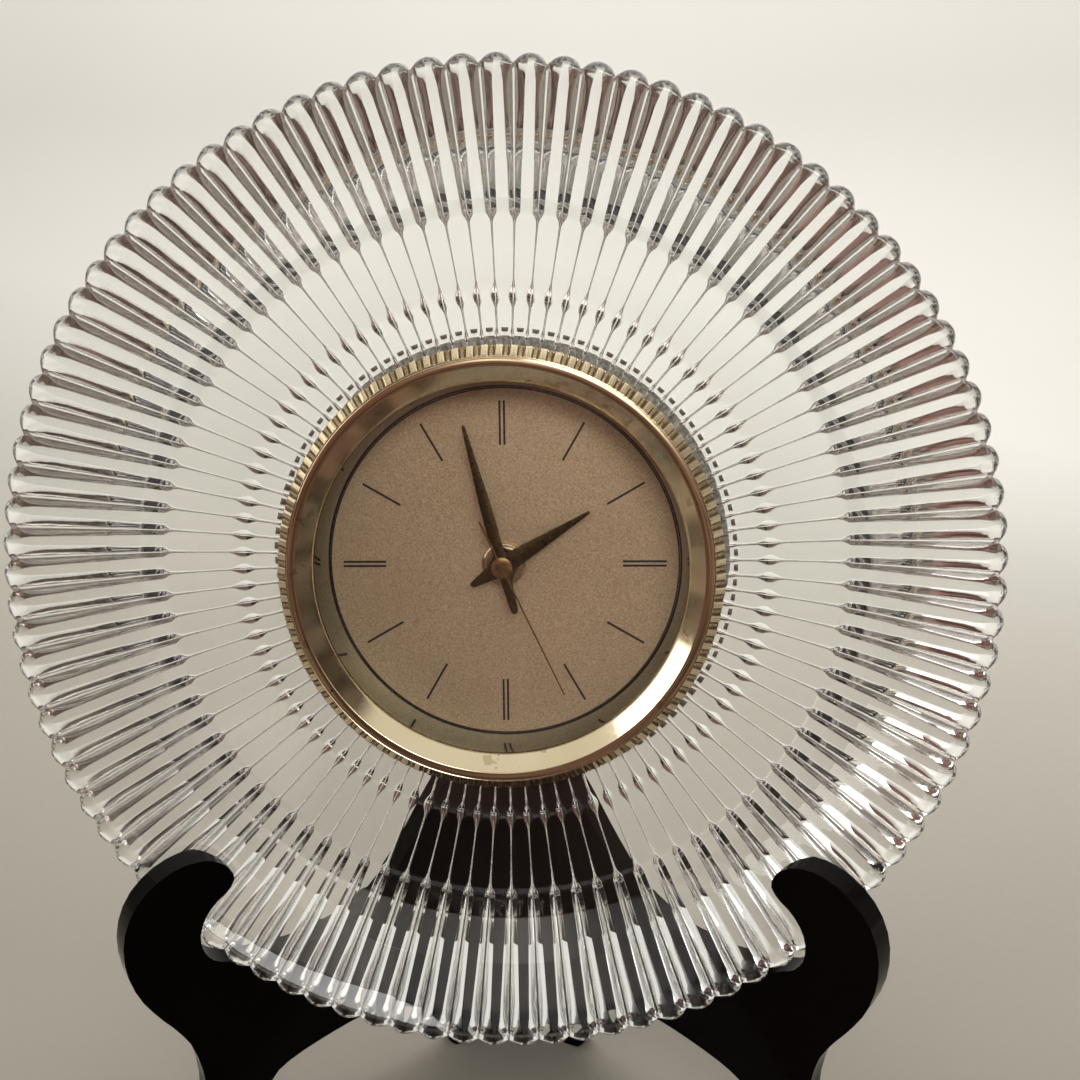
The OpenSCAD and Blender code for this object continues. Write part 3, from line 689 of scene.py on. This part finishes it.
wall_light = area("wall", (1.5, 0.8), 20.2, (0.12, 0.25, 1.5), (-0.08, 0.95, 0.38), (1.0, 0.995, 0.98))
wall_light.visible_glossy = False
wall_light.visible_transmission = False
key = area("key", (0.7, 0.5), 6.9, (0.35, -1.15, 1.0), (0.0, 0.0, 0.2), (1.0, 0.985, 0.955))
key.visible_transmission = False
area("window", (0.7, 1.0), 6, (-1.5, -0.5, 1.0), (0.0, 0.2, 0.2), (1.0, 0.99, 0.96))


def world():
    w = bpy.data.worlds.new("room")
    bpy.context.scene.world = w
    w.use_nodes = True
    nt = w.node_tree
    bg = nt.nodes["Background"]
    tc = add(nt, "ShaderNodeTexCoord")
    sep = add(nt, "ShaderNodeSeparateXYZ")
    nt.links.new(tc.outputs["Generated"], sep.inputs[0])
    n = add(nt, "ShaderNodeTexNoise", Scale=2.6, Detail=2.0, Roughness=0.5)
    nt.links.new(tc.outputs["Generated"], n.inputs["Vector"])

    def blend(fac, a, b):
        t = add(nt, "ShaderNodeMix", data_type="RGBA")
        nt.links.new(fac, t.inputs[0])
        for k, c in ((6, a), (7, b)):
            if isinstance(c, tuple):
                t.inputs[k].default_value = (*c, 1)
            else:
                nt.links.new(c, t.inputs[k])
        return t.outputs[2]

    def both(a, b):
        t = add(nt, "ShaderNodeMath", operation="MULTIPLY")
        nt.links.new(a, t.inputs[0])
        nt.links.new(b, t.inputs[1])
        return t.outputs[0]

    # a brown-red room in front, paler to the left, dark to the right and brown below; a pale ceiling
    # that starts higher on the right than on the left, and highest in front
    front = ramp(nt, n.outputs["Fac"], (0.38, (0.17, 0.080, 0.064)), (0.50, (0.25, 0.125, 0.100)), (0.62, (0.34, 0.225, 0.175)))
    room = blend(both(span(nt, sep.outputs["X"], 1.0, 0.0, -0.85, -0.35), span(nt, sep.outputs["Y"], 0.0, 1.0, -0.34, -0.14)), front, (0.25, 0.215, 0.175))
    glow = both(both(span(nt, sep.outputs["X"], 0.0, 1.0, -0.30, 0.0), span(nt, sep.outputs["Y"], 1.0, 0.0, -0.7, -0.5)),
                both(span(nt, sep.outputs["Z"], 0.0, 1.0, 0.20, 0.32), span(nt, sep.outputs["Z"], 1.0, 0.0, 0.46, 0.56)))
    room = blend(glow, room, (1.5, 1.33, 1.15))
    room = blend(span(nt, sep.outputs["X"], 0.0, 1.0, 0.40, 0.80), room, (0.10, 0.082, 0.066))
    room = blend(both(span(nt, sep.outputs["X"], 0.0, 1.0, 0.40, 0.70), span(nt, sep.outputs["Y"], 0.0, 1.0, -0.08, 0.06)), room, (0.60, 0.58, 0.53))
    room = blend(both(span(nt, sep.outputs["Y"], 1.0, 0.0, -0.6, -0.3), span(nt, sep.outputs["Z"], 1.0, 0.0, -0.10, 0.24)), room, (0.14, 0.089, 0.071))
    room = blend(both(span(nt, sep.outputs["Y"], 1.0, 0.0, -0.6, -0.4), span(nt, sep.outputs["Z"], 0.0, 1.0, 0.40, 0.52)), room, (0.05, 0.032, 0.028))
    room = blend(span(nt, sep.outputs["Z"], 1.0, 0.0, -0.85, -0.5), room, (0.16, 0.105, 0.085))
    # things in the room, for the gold and the ribs to mirror
    things = add(nt, "ShaderNodeMix", data_type="RGBA", blend_type="MULTIPLY")
    things.inputs[0].default_value = 1.0
    m = add(nt, "ShaderNodeTexNoise", Scale=7.5, Detail=2.0, Roughness=0.5)
    nt.links.new(tc.outputs["Generated"], m.inputs["Vector"])
    nt.links.new(room, things.inputs[6])
    nt.links.new(ramp(nt, m.outputs["Fac"], (0.42, (0.50, 0.50, 0.50)), (0.50, (0.95, 0.95, 0.95)), (0.60, (1.6, 1.6, 1.6))), things.inputs[7])
    room = things.outputs[2]
    lift = add(nt, "ShaderNodeMath", operation="MULTIPLY_ADD")
    nt.links.new(sep.outputs["X"], lift.inputs[0])
    lift.inputs[1].default_value = -0.12
    back_up = add(nt, "ShaderNodeMath", operation="MULTIPLY_ADD")
    nt.links.new(sep.outputs["Y"], back_up.inputs[0])
    back_up.inputs[1].default_value = 0.55
    nt.links.new(sep.outputs["Z"], back_up.inputs[2])
    nt.links.new(back_up.outputs[0], lift.inputs[2])
    mix = add(nt, "ShaderNodeMix", data_type="RGBA")
    mix.inputs[7].default_value = (0.88, 0.86, 0.81, 1)
    nt.links.new(span(nt, lift.outputs[0], 0.0, 1.0, 0.36, 0.46), mix.inputs[0])
    nt.links.new(room, mix.inputs[6])
    nt.links.new(mix.outputs[2], bg.inputs["Color"])
    bg.inputs["Strength"].default_value = 0.9


world()
# light crosses many faces inside the crystal before it leaves it
bpy.context.scene.cycles.max_bounces = 24
bpy.context.scene.cycles.glossy_bounces = 16
bpy.context.scene.cycles.transmission_bounces = 20
bpy.context.scene.view_settings.view_transform = "Standard"
bpy.context.scene.view_settings.look = "None"
